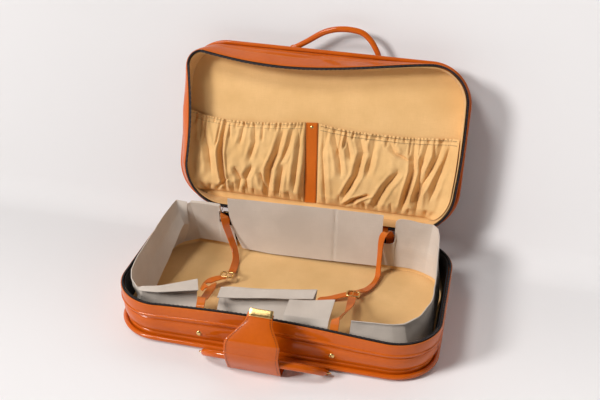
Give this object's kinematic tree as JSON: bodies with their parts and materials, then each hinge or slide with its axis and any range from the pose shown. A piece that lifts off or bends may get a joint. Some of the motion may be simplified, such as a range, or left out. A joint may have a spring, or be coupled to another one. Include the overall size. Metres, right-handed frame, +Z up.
{
  "type": "leather suitcase",
  "caption": "Soft-cornered leather suitcase with zip, wrap-over lock flap, two rolled handles, gathered lid pockets and tie-down straps, standing open.",
  "frame": {"origin": "middle of the base panel's underside, on the floor", "axes": "+Z up; +Y from the lock side to the hinge side; +X to the right as one faces the open case"},
  "size_m": [0.6324, 0.6479, 0.4658],
  "materials": {
    "leather": "smooth cognac hide, edge-stained dark",
    "polished_brass": "polished",
    "tan_lining": "tightly woven cotton lining",
    "grey_stiff_cloth": "stiffened cloth flaps",
    "zip_cloth": "black zip tape and coil"
  },
  "bodies": {
    "base": {"base_panel": "leather", "base_piping": "leather", "base_wall": "leather", "base_rim_band": "leather", "base_zip_tape": "zip_cloth", "base_zip_teeth": "zip_cloth", "base_lining_wall": "tan_lining", "base_lining_floor": "tan_lining", "base_hinge_strip": "leather", "left_flap": "grey_stiff_cloth", "right_flap": "grey_stiff_cloth", "front_flap": "grey_stiff_cloth", "front_flap_tab": "grey_stiff_cloth", "left_strap_front": "leather", "left_strap_rear": "leather", "right_strap_front": "leather", "right_strap_rear": "leather", "right_strap_tail": "leather", "left_buckle": "polished_brass", "right_buckle": "polished_brass", "left_front_stud": "polished_brass", "right_front_stud": "polished_brass", "left_rear_stud": "polished_brass", "right_rear_stud": "polished_brass", "lock_flap_root": "leather", "base_left_tab": "leather", "base_right_tab": "leather"},
    "lid": {"lid_panel": "leather", "lid_piping": "leather", "lid_wall": "leather", "lid_rim_band": "leather", "lid_zip_tape": "zip_cloth", "lid_zip_teeth": "zip_cloth", "lid_lining_wall": "tan_lining", "lid_lining_board": "tan_lining", "lid_hinge_strip": "leather", "lid_left_tab": "leather", "lid_right_tab": "leather", "lock_keeper": "polished_brass", "lid_left_pocket": "tan_lining", "lid_right_pocket": "tan_lining", "lid_centre_strap": "leather", "lid_strap_rivet": "polished_brass"},
    "rear_flap": {"rear_flap": "grey_stiff_cloth"},
    "lock_flap_lower": {"lock_flap_lower": "leather"},
    "lock_flap_upper": {"lock_flap_upper": "leather"},
    "lock_flap_cap": {"lock_flap_cap": "polished_brass"},
    "base_handle": {"base_handle_grip": "leather", "base_left_ring": "polished_brass", "base_right_ring": "polished_brass"},
    "lid_handle": {"lid_handle_grip": "leather", "lid_left_ring": "polished_brass", "lid_right_ring": "polished_brass"},
    "lock_release": {"lock_release": "polished_brass"},
    "left_prong": {"left_buckle_prong": "polished_brass"},
    "right_prong": {"right_buckle_prong": "polished_brass"},
    "zip_slider_left": {"zip_slider_left": "polished_brass"},
    "zip_slider_right": {"zip_slider_right": "polished_brass"},
    "zip_pull_left": {"zip_pull_left": "polished_brass"},
    "zip_pull_right": {"zip_pull_right": "polished_brass"}
  },
  "joints": [
    {"name": "lid_hinge", "type": "hinge", "parent": "base", "child": "lid", "pos_m": [0, 0.1863, 0.0913], "axis": [1, 0, 0], "range_deg": [0, 110], "deforming": ["left_flap", "right_flap", "front_flap_tab", "left_strap_front", "left_strap_rear", "right_strap_front", "right_strap_rear"]},
    {"name": "rear_flap_fold", "type": "hinge", "parent": "base", "child": "rear_flap", "pos_m": [0, 0.1536, 0.0145], "axis": [1, 0, 0], "range_deg": [0, 72]},
    {"name": "lock_flap_root_fold", "type": "hinge", "parent": "base", "child": "lock_flap_lower", "pos_m": [-0.012, -0.182, 0.0018], "axis": [-1, 0, 0], "range_deg": [0, 27.37]},
    {"name": "lock_flap_crease_fold", "type": "hinge", "parent": "lock_flap_lower", "child": "lock_flap_upper", "pos_m": [-0.012, -0.25, 0.089], "axis": [1, 0, 0], "range_deg": [0, 50.04]},
    {"name": "lock_flap_neck_fold", "type": "hinge", "parent": "lock_flap_upper", "child": "lock_flap_cap", "pos_m": [-0.012, -0.213, 0.126], "axis": [-1, 0, 0], "range_deg": [0, 67.67]},
    {"name": "base_handle_swing", "type": "hinge", "parent": "base", "child": "base_handle", "pos_m": [0, -0.19, 0.0046], "axis": [-1, 0, 0], "range_deg": [0, 48.1]},
    {"name": "lid_handle_swing", "type": "hinge", "parent": "lid", "child": "lid_handle", "pos_m": [0, 0.36735, 0.39606], "axis": [1, 0, 0], "range_deg": [-90, 0]},
    {"name": "lock_release_slide", "type": "slide", "parent": "lid", "child": "lock_release", "axis": [1, 0, 0], "range_m": [0, 0.008]},
    {"name": "left_prong_swing", "type": "hinge", "parent": "base", "child": "left_prong", "pos_m": [-0.14094, 0.021, 0.0346], "axis": [1, 0, 0], "range_deg": [0, 120]},
    {"name": "right_prong_swing", "type": "hinge", "parent": "base", "child": "right_prong", "pos_m": [0.12599, 0.021, 0.0346], "axis": [1, 0, 0], "range_deg": [0, 120]},
    {"name": "zip_slider_left_slide", "type": "slide", "parent": "base", "child": "zip_slider_left", "axis": [-1, 0, 0], "range_m": [0, 0.02]},
    {"name": "zip_slider_right_slide", "type": "slide", "parent": "base", "child": "zip_slider_right", "axis": [1, 0, 0], "range_m": [0, 0.02]},
    {"name": "zip_pull_left_swing", "type": "hinge", "parent": "zip_slider_left", "child": "zip_pull_left", "pos_m": [-0.188, 0.1847, 0.08775], "axis": [1, 0, 0], "range_deg": [0, 60]},
    {"name": "zip_pull_right_swing", "type": "hinge", "parent": "zip_slider_right", "child": "zip_pull_right", "pos_m": [0.188, 0.1847, 0.08775], "axis": [1, 0, 0], "range_deg": [0, 60]}
  ],
  "couplings": [
    {"joint": "rear_flap_fold", "follows": "lid_hinge", "ratio": 0.65455},
    {"joint": "lock_flap_crease_fold", "follows": "lock_flap_root_fold", "ratio": 1.8277},
    {"joint": "lock_flap_neck_fold", "follows": "lock_flap_root_fold", "ratio": 2.4716},
    {"joint": "base_handle_swing", "follows": "lock_flap_root_fold", "ratio": 1.7535}
  ]
}
